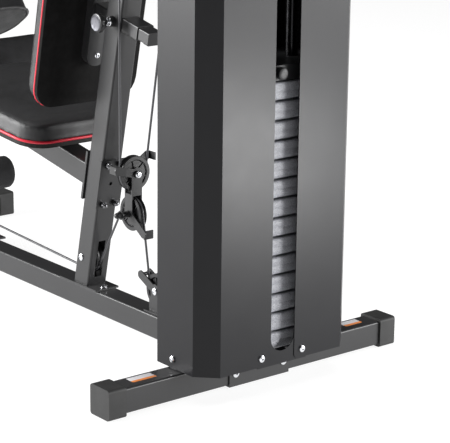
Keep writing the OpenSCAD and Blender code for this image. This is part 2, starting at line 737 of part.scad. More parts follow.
// ---- Leg developer and rollers
module on_leg() translate(at(leg_pivot[0], leg_pivot[1])) rotate([-leg_tilt, 0, 0]) children();
module leg_lever() color(black) from_rear() on_leg() {
  difference() {
    translate([0, 0, -345]) tube(363, 40, 40, wall, 3);
    translate([0, 0, -lower_roller]) rod_x(80, 25.4);
  }
  rod_x(tube_w + 8, pin_d);
  translate([0, 0, -lower_roller]) rod_x(400, 25);
  translate([0, 0, leg_hook]) difference() {
    translate([-3, 20, -12]) cube([6, 24, 24]);
    translate([0, 34, 0]) rod_x(20, 12);
  }
}
module leg_foam() color(rubber) from_rear() on_leg() translate([0, 0, -lower_roller]) rollers();
module leg_cable() color(rubber) from_rear() cable([
  at(stop_s + 0.3, front_pulley_at[1] - run_r),
  at(leg_eye_s, front_pulley_at[1] - run_r)
]);
module rollers() both_sides() translate([40, 0, 0]) difference() {
  along_x() cylinder(164, d = foam_d);
  translate([-1, 0, 0]) along_x() cylinder(161.1, d = 25);
}
module roller_tube() color(chrome) from_rear() translate(at(post_s, roller_z)) rod_x(400, 25);
module foam_rollers() color(rubber) from_rear() translate(at(post_s, roller_z)) rollers();

// ---- Preacher pad
module on_preacher() translate(at(preacher_s, preacher_z)) rotate([preacher_tilt, 0, 0])
  children();
module preacher_frame() color(black) from_rear() {
  difference() {
    translate(at(preacher_s, preacher_low)) tube(preacher_z - preacher_low + 30, 38, 38, wall, 3);
    on_preacher() translate([-60, -100, 1]) cube([120, 200, 100]);
    for (i = [-1:1]) translate(at(preacher_s, adjust_low + 50 * i)) translate([10, 0, 0])
      along_x() cylinder(20, d = 9);
  }
  on_preacher() translate([-60, -130, 0]) cube([120, 150, 4]);
}
module preacher_pad() color(vinyl) from_rear() on_preacher() translate([0, -85, 4])
  linear_extrude(66) round_rect(480, 195, 80);
module preacher_pin() color(rubber) from_rear() translate(at(preacher_s, adjust_low))
  translate([19.4, 0, 0]) pull_pin(19.4);

rear_foot();
foot_bracket();
base_tube();
front_foot();
end_caps();
upright();
backing_plate();
backrest_sleeve();
seat_post();
front_post();
top_beam();
guide_rods();
rod_plates();
stack_bumpers();
weight_plates();
top_plate();
selector_rod();
selector_pin();
shroud_left();
shroud_right();
shroud_tabs();
zinc_screws();
frame_nuts();
foot_pulley_wheel();
base_pulley_wheel();
mid_pulley_wheel();
front_pulley_wheel();
top_front_wheel();
top_mid_wheel();
top_rear_wheel();
top_brackets();
base_bracket();
block_bracket();
block_upper_wheel();
block_lower_wheel();
high_cable();
low_cable();
lat_cable();
stack_cable();
block_cables();
lat_bar();
lat_grips();
backrest_frame();
backrest_pad();
backrest_pin();
seat_board();
seat_pad();
press_frame();
press_arms();
press_grips();
roller_tube();
leg_lever();
leg_foam();
leg_cable();
foam_rollers();
preacher_frame();
preacher_pad();
preacher_pin();
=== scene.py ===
"""Looks of the multi station home gym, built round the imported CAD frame."""
import math
import numpy as np
import bpy
import bmesh
from mathutils import Matrix, Vector
from mathutils.bvhtree import BVHTree


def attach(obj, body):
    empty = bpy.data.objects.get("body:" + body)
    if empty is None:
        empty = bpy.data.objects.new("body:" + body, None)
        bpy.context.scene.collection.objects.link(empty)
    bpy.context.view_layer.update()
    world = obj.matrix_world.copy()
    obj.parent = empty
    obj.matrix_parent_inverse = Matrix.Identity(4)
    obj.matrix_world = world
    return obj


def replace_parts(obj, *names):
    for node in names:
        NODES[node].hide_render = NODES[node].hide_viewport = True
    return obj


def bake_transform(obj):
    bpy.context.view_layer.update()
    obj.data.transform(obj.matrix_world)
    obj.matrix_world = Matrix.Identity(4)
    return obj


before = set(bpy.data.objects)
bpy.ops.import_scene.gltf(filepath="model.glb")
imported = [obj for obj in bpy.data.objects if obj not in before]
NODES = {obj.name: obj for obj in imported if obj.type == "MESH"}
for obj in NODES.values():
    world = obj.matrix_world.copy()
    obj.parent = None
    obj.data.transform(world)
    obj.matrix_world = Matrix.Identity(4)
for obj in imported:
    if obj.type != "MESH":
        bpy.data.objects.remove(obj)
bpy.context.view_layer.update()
MM = 0.001
REAR = 0.651            # rear face of the rear foot, on Y, in metres

# Places in millimetres. A station is a distance forward of the rear foot's rear face.
LEAN = math.radians(12)
UPRIGHT_S = 585         # axis of the leaning upright at the floor
TUBE = 50               # side of the square frame tube
BACK_Z = 648            # height of the backrest's frame on the upright
RUN_R = 33.5            # radius of a cable's run round a wheel
CABLE_R = 2.5
STACK_S = 25            # middle of the weight stack
STACK_Z = 76            # underside of the lowest plate
PLATE_COUNT = 14
PLATE_PITCH = 37.6
TOP_PLATE_Z = STACK_Z + PLATE_COUNT * PLATE_PITCH
BLOCK_S = 412
BLOCK_HIGH = (BLOCK_S, 334)
BLOCK_LOW = (BLOCK_S, 248)
FOOT = (568, 119)
BASE = (320, 102)
POST_S = 1075
FRONT = (POST_S, 142)
MID_Z = 1248
MID = (UPRIGHT_S - MID_Z * math.tan(LEAN), MID_Z)
TOP_Z = 1905            # axes of the pulleys under the top beam
STRAND_TOP = TOP_Z - 0.5
TOP_FRONT_S = 826
TOP_MID_S = BLOCK_S + RUN_R
TOP_REAR_S = STACK_S + RUN_R
LAT_S = TOP_FRONT_S + RUN_R
PREACHER_S = 1122.5
UPPER_ROLLER_Z = 470


# ---- Camera at the photograph's angle

def make_camera():
    yaw, pitch, roll = math.radians(230.954), math.radians(15.6), math.radians(0.635)
    flat = Vector((math.cos(yaw), math.sin(yaw), 0))
    side = Vector((math.sin(yaw), -math.cos(yaw), 0))
    up = Vector((0, 0, 1))
    ahead = math.cos(pitch) * flat - math.sin(pitch) * up
    top = math.cos(pitch) * up + math.sin(pitch) * flat
    right = math.cos(roll) * side + math.sin(roll) * top
    above = -math.sin(roll) * side + math.cos(roll) * top
    data = bpy.data.cameras.new("camera")
    data.lens = 149.84
    data.sensor_width = 36
    data.clip_end = 100
    cam = bpy.data.objects.new("camera", data)
    bpy.context.scene.collection.objects.link(cam)
    turn = Matrix((right, above, -ahead)).transposed().to_4x4()
    cam.matrix_world = Matrix.Translation((2.2209, 2.6291 + REAR, 1.2815)) @ turn
    bpy.context.scene.camera = cam


make_camera()


# ---- Materials

class Surface:
    """A Principled material with mottled colour, uneven roughness and layered bumps."""

    def __init__(self, name, colour, rough, metal=0.0, spec=0.5):
        self.mat = bpy.data.materials.new(name)
        self.mat.use_nodes = True
        self.nodes = self.mat.node_tree.nodes
        self.links = self.mat.node_tree.links
        self.shader = self.nodes["Principled BSDF"]
        self.colour = colour
        self.rough = rough
        self.shader.inputs["Base Color"].default_value = (*colour, 1)
        self.shader.inputs["Roughness"].default_value = rough
        self.shader.inputs["Metallic"].default_value = metal
        self.shader.inputs["Specular IOR Level"].default_value = spec
        self.place = self.nodes.new("ShaderNodeTexCoord").outputs["Object"]
        self.height = None

    def set(self, **sockets):
        for key, value in sockets.items():
            self.shader.inputs[key.replace("_", " ")].default_value = value
        return self

    def texture(self, kind, scale, stretch):
        """A texture node on the object's own coordinates, stretched if asked."""
        tex = self.nodes.new(kind)
        tex.inputs["Scale"].default_value = scale
        source = self.place
        if stretch:
            mapping = self.nodes.new("ShaderNodeMapping")
            mapping.inputs["Scale"].default_value = stretch
            self.links.new(source, mapping.inputs["Vector"])
            source = mapping.outputs["Vector"]
        self.links.new(source, tex.inputs["Vector"])
        return tex

    def noise(self, scale, detail=3.0, rough=0.55, stretch=None):
        tex = self.texture("ShaderNodeTexNoise", scale, stretch)
        tex.inputs["Detail"].default_value = detail
        tex.inputs["Roughness"].default_value = rough
        return tex.outputs["Fac"]

    def cells(self, scale, stretch=None):
        """Fine cells, 0 on their borders and 1 inside."""
        tex = self.texture("ShaderNodeTexVoronoi", scale, stretch)
        tex.feature = "DISTANCE_TO_EDGE"
        return self.span(tex.outputs["Distance"], 0.0, 0.12, 0.0, 1.0)

    def span(self, source, low, high, to_low, to_high):
        node = self.nodes.new("ShaderNodeMapRange")
        for key, value in zip(("From Min", "From Max", "To Min", "To Max"),
                              (low, high, to_low, to_high)):
            node.inputs[key].default_value = value
        self.links.new(source, node.inputs["Value"])
        return node.outputs["Result"]

    def tint(self, source, low, high, colours):
        """Base colour from one colour to another as the source goes from low to high."""
        ramp = self.nodes.new("ShaderNodeValToRGB")
        for element, place, colour in zip(ramp.color_ramp.elements, (low, high), colours):
            element.position = place
            element.color = (*colour, 1)
        self.links.new(source, ramp.inputs["Fac"])
        self.links.new(ramp.outputs["Color"], self.shader.inputs["Base Color"])
        return self

    def mottle(self, scale, amount):
        dark = [c * (1 - amount) for c in self.colour]
        light = [min(1, c * (1 + amount)) for c in self.colour]
        return self.tint(self.noise(scale, 4.0), 0.32, 0.68, (dark, light))

    def uneven(self, scale, amount):
        source = self.span(self.noise(scale), 0.3, 0.7,
                           self.rough - amount, self.rough + amount)
        self.links.new(source, self.shader.inputs["Roughness"])
        return self

    def bump(self, source, metres, strength=1.0):
        node = self.nodes.new("ShaderNodeBump")
        node.inputs["Strength"].default_value = strength
        node.inputs["Distance"].default_value = metres
        self.links.new(source, node.inputs["Height"])
        if self.height is not None:
            self.links.new(self.height, node.inputs["Normal"])
        self.height = node.outputs["Normal"]
        self.links.new(self.height, self.shader.inputs["Normal"])
        return self


def powder(name, colour, rough, spec):
    """Satin powder coat: faint orange peel and a fine dusty grain."""
    s = Surface(name, colour, rough, spec=spec).mottle(9, 0.05).uneven(14, 0.012)
    return s.bump(s.noise(420, 2), 0.00006, 0.5).bump(s.noise(2600, 1), 0.00002, 0.6)


def moulded(name, colour, rough, grain=1500, depth=0.00008, spec=0.4):
    """Moulded plastic or rubber with a sparked grain."""
    s = Surface(name, colour, rough, spec=spec).mottle(30, 0.14).uneven(40, 0.05)
    return s.bump(s.noise(grain, 3, 0.7), depth, 0.8)


def metal(name, colour, rough, scratch=(1, 1, 40)):
    """Metal with faint scratches; scratch says how fine they are along each axis."""
    s = Surface(name, colour, rough, metal=1.0).mottle(60, 0.05).uneven(90, rough * 0.3)
    return s.bump(s.noise(120, 4, 0.6, scratch), 0.00001, 0.4)


def upholstery(name, colour, rough, spec=0.5):
    """Vinyl: pebbled grain over soft, broad unevenness."""
    s = Surface(name, colour, rough, spec=spec).mottle(22, 0.12).uneven(35, 0.06)
    s.bump(s.noise(28, 3), 0.0009, 0.35)
    return s.bump(s.cells(700), 0.00016, 0.5)


PAINT = powder("frame_powder", (0.024, 0.024, 0.025), 0.36, 0.45)
SHROUD = powder("shroud_powder", (0.012, 0.012, 0.0135), 0.34, 0.22)
CAP = moulded("cap_plastic", (0.022, 0.022, 0.022), 0.62)
NYLON = moulded("pulley_nylon", (0.010, 0.010, 0.011), 0.38, 900, 0.00004, 0.5)
KNOB = moulded("knob_plastic", (0.012, 0.012, 0.013), 0.34, 1200, 0.00003, 0.5)
DISC = metal("knob_disc", (0.10, 0.10, 0.11), 0.50, (1, 40, 1))
BUMPER = moulded("bumper_rubber", (0.012, 0.012, 0.012), 0.75)
# Guide and selector rods: polished steel whose near-black colour is painted shade, standing in for
# the shadow inside the shroud.
SHADED_ROD = metal("rod_black", (0.030, 0.030, 0.032), 0.24)
CHROME = metal("chrome", (0.82, 0.82, 0.84), 0.10)
ZINC = metal("zinc", (0.86, 0.87, 0.90), 0.22, (1, 1, 1))
BLACK_OXIDE = Surface("black_oxide", (0.20, 0.20, 0.21), 0.24, metal=1.0).mottle(200, 0.2)
BLACK_OXIDE.uneven(250, 0.06).bump(BLACK_OXIDE.noise(900, 2), 0.00003, 0.6)
VINYL = upholstery("vinyl", (0.018, 0.018, 0.019), 0.47)
# Darker, less glossy copy of the vinyl for the preacher pad: its darker colour is painted shade,
# since the pad is the same vinyl as the seat and backrest.
PREACHER_VINYL_SHADED = upholstery("preacher_vinyl_painted_shade", (0.011, 0.011, 0.012), 0.58, spec=0.28)
CLOTH = Surface("backing_cloth", (0.0085, 0.0082, 0.0082), 0.95, spec=0.1).mottle(60, 0.25)
CLOTH.bump(CLOTH.noise(1800, 2, 0.7), 0.0002, 0.8).set(Sheen_Weight=0.05)
RED = Surface("red_piping", (0.62, 0.012, 0.035), 0.42, spec=0.5).mottle(80, 0.10)
RED.uneven(60, 0.05).bump(RED.noise(700, 2), 0.00008, 0.6)
PLATE = Surface("plate_vinyl", (0.055, 0.056, 0.060), 0.44, spec=0.6)
PLATE.tint(PLATE.noise(520, 3, 0.75), 0.30, 0.72, ((0.07, 0.07, 0.075), (0.50, 0.51, 0.56)))
PLATE.uneven(300, 0.12).bump(PLATE.noise(60, 3), 0.0012, 0.4)
PLATE.bump(PLATE.cells(620, (1, 1, 0.7)), 0.00035, 0.7)
CABLE = Surface("cable_coat", (0.055, 0.055, 0.060), 0.30, spec=0.6).mottle(300, 0.1)
CABLE.bump(CABLE.noise(500, 2, 0.5, (1, 1, 0.2)), 0.00006, 0.6)
FOAM = Surface("roller_foam", (0.016, 0.016, 0.017), 0.85, spec=0.25).mottle(50, 0.2)
FOAM.bump(FOAM.cells(900), 0.00025, 0.7).bump(FOAM.noise(60, 3), 0.0012, 0.3)
GRIP = Surface("grip_foam", (0.014, 0.014, 0.014), 0.8, spec=0.3).mottle(70, 0.2)
GRIP.bump(GRIP.cells(1100), 0.0002, 0.7)
BOARD = Surface("board_black", (0.014, 0.013, 0.012), 0.7, spec=0.3).mottle(40, 0.3)
BOARD.bump(BOARD.noise(160, 4, 0.6, (6, 1, 1)), 0.0003, 0.5)
TOP_PLATE = moulded("top_plate_skin", (0.010, 0.010, 0.011), 0.5, 500, 0.0002)


def sticker_material():
    """White label with an orange band along its rear edge."""
    s = Surface("label_print", (0.72, 0.71, 0.72), 0.35)
    split = s.nodes.new("ShaderNodeSeparateXYZ")
    s.links.new(s.place, split.inputs["Vector"])
    band_edge = REAR - 0.0260
    band = s.span(split.outputs["Y"], band_edge, band_edge + 0.0005, 0.0, 1.0)
    s.tint(band, 0.45, 0.55, ((0.74, 0.73, 0.75), (0.80, 0.26, 0.07)))
    return s.uneven(120, 0.06).bump(s.noise(300, 2), 0.00002, 0.5)


LABEL = sticker_material()


def paint(surface, *names):
    for name in names:
        NODES[name].data.materials.clear()
        NODES[name].data.materials.append(surface.mat)


paint(PAINT, "rear_foot", "foot_bracket", "base_tube", "front_foot", "upright",
      "backing_plate", "backrest_sleeve", "seat_post", "front_post", "top_beam", "rod_plates",
      "top_brackets", "base_bracket", "block_bracket", "backrest_frame", "press_frame",
      "press_arms", "leg_lever", "preacher_frame")
paint(SHROUD, "shroud_left", "shroud_right", "shroud_tabs")
paint(CAP, "end_caps")
# The rods take the darkened steel, a painted shade.
paint(SHADED_ROD, "guide_rods", "selector_rod")
paint(CHROME, "roller_tube", "lat_bar")
paint(BUMPER, "stack_bumpers")
paint(TOP_PLATE, "top_plate")
paint(ZINC, "zinc_screws")
paint(BLACK_OXIDE, "frame_nuts")
paint(BOARD, "seat_board")


def soften(width, *names):
    """Rounds the sharp folds and cut edges of carried-over parts."""
    for name in names:
        mod = NODES[name].modifiers.new("edge", "BEVEL")
        mod.width = width
        mod.segments = 2
        mod.limit_method = "ANGLE"
        mod.angle_limit = math.radians(35)
        mod.harden_normals = False
        mod.use_clamp_overlap = True


soften(0.0007, "shroud_left", "shroud_right")
soften(0.0009, "end_caps", "foot_bracket", "backing_plate", "top_plate")


# ---- Geometry helpers

def add_piece(name, bm, surface, body, angle=35):
    """Makes a piece of a mesh that is being built, on a body and in a material slot."""
    mesh = bpy.data.meshes.new(name)
    bmesh.ops.recalc_face_normals(bm, faces=bm.faces)
    bm.to_mesh(mesh)
    bm.free()
    obj = bpy.data.objects.new(name, mesh)
    bpy.context.scene.collection.objects.link(obj)
    mesh.materials.append(surface.mat)
    mesh.shade_smooth()
    mesh.set_sharp_from_angle(angle=math.radians(angle))
    if body:
        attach(obj, body)
    return obj


QUARTER = Matrix.Rotation(math.pi / 2, 4, "Z")     # turns the local X axis to +Y


def cap_ends(bm, rings):
    bm.faces.new(reversed(rings[0]))
    bm.faces.new(rings[-1])


def station(x, s, z):
    """A point in metres from X, the station and the height in millimetres."""
    return Vector((x * MM, REAR - s * MM, z * MM))


def local(s, z, tilt):
    """Frame of an assembly turned about X by tilt degrees at a station and height."""
    return Matrix.Translation(station(0, s, z)) @ Matrix.Rotation(math.radians(tilt), 4, "X")


def rounded_rect(w, h, r, steps=8):
    out = []
    for cx, cy, start in ((1, 1, 0), (-1, 1, 90), (-1, -1, 180), (1, -1, 270)):
        for i in range(steps + 1):
            a = math.radians(start + 90 * i / steps)
            out.append((cx * (w / 2 - r) + r * math.cos(a), cy * (h / 2 - r) + r * math.sin(a)))
    return out


def inset(outline, d):
    """A closed convex outline moved inwards by d."""
    n = len(outline)
    out = []
    for i, (x, y) in enumerate(outline):
        (ax, ay), (bx, by) = outline[i - 1], outline[(i + 1) % n]
        tx, ty = bx - ax, by - ay
        k = math.hypot(tx, ty) or 1
        out.append((x - d * ty / k, y + d * tx / k))
    return out


def resample(outline, count):
    """Evenly spaced points along a closed outline."""
    pts = [Vector(p) for p in outline]
    edges = [(pts[i], pts[(i + 1) % len(pts)]) for i in range(len(pts))]
    total = sum((b - a).length for a, b in edges)
    out, run, k = [], 0.0, 0
    for i in range(count):
        want = total * i / count
        while run + (edges[k][1] - edges[k][0]).length < want:
            run += (edges[k][1] - edges[k][0]).length
            k += 1
        a, b = edges[k]
        t = (want - run) / max((b - a).length, 1e-9)
        out.append(tuple(a.lerp(b, t)))
    return out


def loft(bm, rings, place, to_point):
    """Skins closed rings of 2-D points; to_point(x, y, h) gives the point in millimetres."""
    made = []
    for outline, h in rings:
        made.append([bm.verts.new(place @ (Vector(to_point(x, y, h)) * MM)) for x, y in outline])
    n = len(made[0])
    for a, b in zip(made, made[1:]):
        for i in range(n):
            bm.faces.new((a[i], a[(i + 1) % n], b[(i + 1) % n], b[i]))
    cap_ends(bm, made)


def sweep(bm, path, radius, sides=12, closed=False):
    """A round tube along a path of points in metres."""
    n = len(path)
    made = []
    for i, p in enumerate(path):
        a = path[i - 1] if closed or i else path[0]
        b = path[(i + 1) % n] if closed or i < n - 1 else path[-1]
        t = (b - a).normalized()
        ref = Vector((0, 1, 0)) if abs(t.x) > 0.75 else Vector((1, 0, 0))
        u = t.cross(ref).normalized()
        v = t.cross(u)
        made.append([bm.verts.new(p + radius * (math.cos(2 * math.pi * k / sides) * u
                                               + math.sin(2 * math.pi * k / sides) * v))
                     for k in range(sides)])
    pairs = list(zip(made, made[1:])) + ([(made[-1], made[0])] if closed else [])
    for a, b in pairs:
        shift = 0
        if closed and a is made[-1]:
            shift = min(range(sides), key=lambda s: (b[s].co - a[0].co).length)
        for k in range(sides):
            bm.faces.new((a[k], a[(k + 1) % sides],
                          b[(k + 1 + shift) % sides], b[(k + shift) % sides]))
    if not closed:
        cap_ends(bm, made)


def lathe(bm, profile, place, sides=48, wave=None):
    """Turns (distance along the axis, radius) in millimetres about the local X axis."""
    rings = []
    for x, r in profile:
        ring = []
        for k in range(sides):
            a = 2 * math.pi * k / sides
            rr = r + (wave(x, a) if wave else 0)
            ring.append(bm.verts.new(place @ (Vector((x, rr * math.cos(a), rr * math.sin(a)))
                                              * MM)))
        rings.append(ring)
    for a, b in zip(rings, rings[1:]):
        for k in range(sides):
            bm.faces.new((a[k], a[(k + 1) % sides], b[(k + 1) % sides], b[k]))
    return rings


# ---- Soft goods

def capped(move, cap):
    """The move, no longer than the cap."""
    return move * min(1.0, cap / max(move.length, 1e-9))


def evened(mesh, moves, held, rounds=30):
    """Averages each point's move with its neighbours', so the skin has no buckles."""
    ends = np.array([e.vertices[:] for e in mesh.edges])
    count = np.bincount(ends.ravel(), minlength=len(moves))[:, None]
    for _ in range(rounds):
        total = np.zeros_like(moves)
        np.add.at(total, ends[:, 0], moves[ends[:, 1]])
        np.add.at(total, ends[:, 1], moves[ends[:, 0]])
        moves = total / count
        moves[held] = 0.0
    return moves


def inflate(bm, name, surface, body, cap, is_fixed):
    """Remeshes a pad, swells it with cloth pressure and caps how far a point moves."""
    voxel, pressure, steps = 0.006, 4.0, 20
    obj = add_piece(name, bm, surface, None)
    mod = obj.modifiers.new("voxels", "REMESH")
    mod.mode = "VOXEL"
    mod.voxel_size = voxel
    depsgraph = bpy.context.evaluated_depsgraph_get()
    mesh = bpy.data.meshes.new_from_object(obj.evaluated_get(depsgraph))
    obj.modifiers.clear()
    obj.data = mesh
    mesh.materials.clear()
    mesh.materials.append(surface.mat)
    rest = [v.co.copy() for v in mesh.vertices]
    group = obj.vertex_groups.new(name="held")
    group.add([v.index for v in mesh.vertices if is_fixed(v.co)], 1.0, "ADD")
    cloth = obj.modifiers.new("cloth", "CLOTH")
    cloth.settings.quality = 4
    cloth.settings.use_pressure = True
    cloth.settings.uniform_pressure_force = pressure
    cloth.settings.effector_weights.gravity = 0
    cloth.settings.vertex_group_mass = "held"
    cloth.settings.bending_stiffness = 0.6
    for frame_number in range(1, steps + 1):
        bpy.context.scene.frame_set(frame_number)
    depsgraph = bpy.context.evaluated_depsgraph_get()
    swollen = [v.co.copy() for v in obj.evaluated_get(depsgraph).data.vertices]
    obj.modifiers.clear()
    bpy.context.scene.frame_set(1)
    held = [is_fixed(p) for p in rest]
    moves = np.array([capped(b - a, cap) for a, b in zip(rest, swollen)])
    for v, a, move in zip(mesh.vertices, rest, evened(mesh, moves, held)):
        v.co = a + Vector(move)
    mesh.shade_smooth()
    sub = obj.modifiers.new("smooth", "SUBSURF")
    sub.levels = sub.render_levels = 1
    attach(obj, body)
    return obj


def pad_rings(outline, base, top, edge):
    """Rings from the flat base up a straight side and over a rounded edge."""
    rings = [(inset(outline, 2.0), base), (outline, base + 2), (outline, top - edge)]
    for i in range(1, 6):
        a = math.radians(90 * i / 5)
        rings.append((inset(outline, edge * (1 - math.cos(a))), top - edge + edge * math.sin(a)))
    return rings


def on_surface(obj, points):
    """Points moved onto a piece's surface and lifted a little along its normal."""
    lift = 0.0002
    depsgraph = bpy.context.evaluated_depsgraph_get()
    tree = BVHTree.FromObject(obj, depsgraph)
    out = []
    for p in points:
        near, normal, _, _ = tree.find_nearest(p)
        out.append(near + normal * lift)
    return out


def trim(name, points, radius, surface, body, sides=10):
    """A thin closed cord round a cushion: piping or a seam."""
    bm = bmesh.new()
    sweep(bm, points, radius, sides, closed=True)
    add_piece(name, bm, surface, body, angle=180)


def smooth_loop(points):
    for _ in range(3):
        n = len(points)
        points = [(points[i - 1] + points[i] * 2 + points[(i + 1) % n]) / 4 for i in range(n)]
    return points


def seam_on(pad, points):
    return smooth_loop(on_surface(pad, points))


def placed(frame_of_pad, to_point, outline, height):
    """The outline at one height of a pad, as points in metres."""
    return [frame_of_pad @ (Vector(to_point(x, y, height)) * MM) for x, y in outline]


# Backrest: crowned front, boxed side, flat cloth back and red piping at the rear edge
BACK = local(UPRIGHT_S - BACK_Z * math.tan(LEAN), BACK_Z, -12)
BACK_W, BACK_H, BACK_R = 256, 590, 45
BACK_REAR = -93
BACK_MID = BACK_H / 2 - 220


def back_point(x, y, h):
    return (x, BACK_REAR - h, BACK_MID + y)


def back_outline(less, count):
    """The backrest's outline, smaller by less on every side."""
    return resample(rounded_rect(BACK_W - 2 * less, BACK_H - 2 * less, BACK_R - less), count)


def make_backrest():
    bm = bmesh.new()
    loft(bm, pad_rings(back_outline(2, 150), 8, 46, 8), BACK, back_point)
    normal = BACK.to_3x3() @ Vector((0, 1, 0))
    plane = (BACK @ (Vector((0, BACK_REAR - 14, 0)) * MM)).dot(normal)
    pad = inflate(bm, "backrest_cushion", VINYL, "backrest", 0.006,
                  lambda p: p.dot(normal) > plane)
    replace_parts(pad, "backrest_pad")
    bm = bmesh.new()
    board = back_outline(0.5, 120)
    loft(bm, [(inset(board, 1.2), 0.0), (inset(board, 0.3), 0.5), (board, 2.0), (board, 9.0)],
         BACK, back_point)
    add_piece("backrest_backing", bm, CLOTH, "backrest", angle=40)
    trim("backrest_piping", placed(BACK, back_point, back_outline(1.3, 150), 11.0), 0.0025,
         RED, "backrest")
    trim("backrest_seam", seam_on(pad, placed(BACK, back_point, back_outline(2, 150), 44)),
         0.0009, VINYL, "backrest", 8)


make_backrest()

# Seat: widest in the middle, red piping along the lower edge
SEAT = local(610, 356, -10)
SEAT_L = 388
SEAT_R = 62


def hull(points):
    """Convex outline of 2-D points."""
    pts = sorted(set((round(x, 4), round(y, 4)) for x, y in points))

    def half(seq):
        out = []
        for p in seq:
            while len(out) > 1 and ((out[-1][0] - out[-2][0]) * (p[1] - out[-2][1])
                                    - (out[-1][1] - out[-2][1]) * (p[0] - out[-2][0])) <= 0:
                out.pop()
            out.append(p)
        return out
    return half(pts)[:-1] + half(reversed(pts))[:-1]


def seat_outline(grow):
    """Hull of three pairs of corner circles: half width and place along the seat."""
    pts = []
    for half_w, y in ((132, -SEAT_R), (153, -SEAT_L / 2), (145, SEAT_R - SEAT_L)):
        for i in range(48):
            a = 2 * math.pi * i / 48
            for side in (-1, 1):
                pts.append((side * (half_w - SEAT_R) + (SEAT_R + grow) * math.cos(a),
                            y + (SEAT_R + grow) * math.sin(a)))
    return resample(hull(pts), 150)


def seat_point(x, y, h):
    return (x, y, 12 + h)


def make_seat():
    bm = bmesh.new()
    loft(bm, pad_rings(seat_outline(-3), 0.6, 40, 8), SEAT, seat_point)
    up = SEAT.to_3x3() @ Vector((0, 0, 1))
    plane = (SEAT @ (Vector((0, 0, 18)) * MM)).dot(up)
    pad = inflate(bm, "seat_cushion", VINYL, "frame", 0.007, lambda p: p.dot(up) < plane)
    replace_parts(pad, "seat_pad")
    trim("seat_piping", placed(SEAT, seat_point, seat_outline(-2.4), 3.0), 0.0030, RED, "frame")
    trim("seat_seam", seam_on(pad, placed(SEAT, seat_point, seat_outline(-2), 43)),
         0.0010, VINYL, "frame", 8)


make_seat()

# Preacher pad: long, with round ends and plain piping
PREACHER = local(PREACHER_S, 560, 32)
PREACHER_W, PREACHER_H = 480, 195


def preacher_point(x, y, h):
    return (x, y - 85, 4 + h)


def make_preacher():
    outline = resample(rounded_rect(PREACHER_W - 6, PREACHER_H - 6, 78), 150)
    bm = bmesh.new()
    loft(bm, pad_rings(outline, 0.6, 56, 12), PREACHER, preacher_point)
    up = PREACHER.to_3x3() @ Vector((0, 0, 1))
    plane = (PREACHER @ (Vector((0, 0, 10)) * MM)).dot(up)
    # The pad's darker vinyl is painted shade.
    pad = inflate(bm, "preacher_cushion", PREACHER_VINYL_SHADED, "preacher", 0.010,
                  lambda p: p.dot(up) < plane)
    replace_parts(pad, "preacher_pad")
    outline = resample(rounded_rect(PREACHER_W - 4.5, PREACHER_H - 4.5, 78.6), 140)
    trim("preacher_piping", placed(PREACHER, preacher_point, outline, 3.2), 0.0028,
         VINYL, "preacher")


make_preacher()


# Foam rollers
def roller(name, body, place):
    """Soft ends, a slight waist and a dished end round the tube."""
    outer = [(0.5, 14.5), (0.5, 18), (1.5, 27), (0.6, 32), (2, 36.5), (6, 39.4), (14, 39.8),
             (50, 39.2), (82, 38.9), (114, 39.2), (150, 39.8), (158, 39.4), (162, 36.5),
             (163.4, 32), (162.5, 27), (163.5, 18), (163.5, 14.5)]
    bm = bmesh.new()
    cap_ends(bm, lathe(bm, outer, place, 56))
    obj = add_piece(name, bm, FOAM, body, angle=60)
    return obj


LEG = local(1170, 425, -10)


def roller_pair(word, body, place, node):
    pair = []
    for side, turn in (("left", 0), ("right", math.pi)):
        spot = place @ Matrix.Rotation(turn, 4, "Z") @ Matrix.Translation((0.040, 0, 0))
        pair.append(roller(f"{word}_roller_{side}", body, spot))
    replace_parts(pair[0], node)


roller_pair("upper", "frame", Matrix.Translation(station(0, POST_S, UPPER_ROLLER_Z)),
            "foam_rollers")
roller_pair("lower", "leg", LEG @ Matrix.Translation((0, 0, -0.285)), "leg_foam")


# ---- Weight plates wrapped in grained vinyl
def weight_plates():
    """Plates with a rounded rim, a groove round the middle and a step between plates."""
    full = rounded_rect(300, 140, 6, 5)
    rings = [(inset(full, 7), 0.0), (inset(full, 3.6), 0.3), (inset(full, 1.2), 1.6),
             (inset(full, 0.3), 4.0), (full, 8.0), (full, 15.6), (inset(full, 0.55), 16.8),
             (full, 18.2), (full, 26), (inset(full, 0.3), 30), (inset(full, 1.2), 32.4),
             (inset(full, 3.6), 33.7), (inset(full, 9), 34.0), (inset(full, 11), 34.0),
             (inset(full, 11), 37.4)]
    for i in range(PLATE_COUNT):
        place = Matrix.Translation(station(0, STACK_S, STACK_Z + PLATE_PITCH * i))
        bm = bmesh.new()
        loft(bm, rings, place, lambda x, y, h: (x, y, h))
        obj = add_piece(f"weight_{i + 1:02d}", bm, PLATE, "frame", angle=50)
        if i == 0:
            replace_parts(obj, "weight_plates")


weight_plates()


# ---- Pulley wheels: flanged rim, dished web with ribs, raised hub
def wheel_mesh(bm, place):
    profile = [(-8, 5.3), (-8, 11), (-7.2, 12), (-4.6, 12.6), (-4.6, 27), (-7.0, 28.2),
               (-8, 29.5), (-8, 36), (-7.4, 36.8), (-6.2, 37), (-5.6, 36.4), (-2.9, 32.2),
               (-2.1, 30.9), (0, 30.5), (2.1, 30.9), (2.9, 32.2), (5.6, 36.4), (6.2, 37),
               (7.4, 36.8), (8, 36), (8, 29.5), (7.0, 28.2), (4.6, 27), (4.6, 12.6),
               (7.2, 12), (8, 11), (8, 5.3)]
    rings = lathe(bm, profile, place, 64)
    n = len(rings[0])
    for k in range(n):
        bm.faces.new((rings[-1][k], rings[-1][(k + 1) % n], rings[0][(k + 1) % n], rings[0][k]))
    for k in range(6):
        a = math.radians(60 * k + 12)
        spin = place @ Matrix.Rotation(a, 4, "X")
        for side in (-1, 1):
            outline = [(-1.3, 11.5), (1.3, 11.5), (1.3, 28.6), (-1.3, 28.6)]
            loft(bm, [(outline, side * 4.0), (outline, side * 6.6), (inset(outline, 0.5),
                                                                  side * 7.1)],
                 spin, lambda x, y, h: (h, x, y))


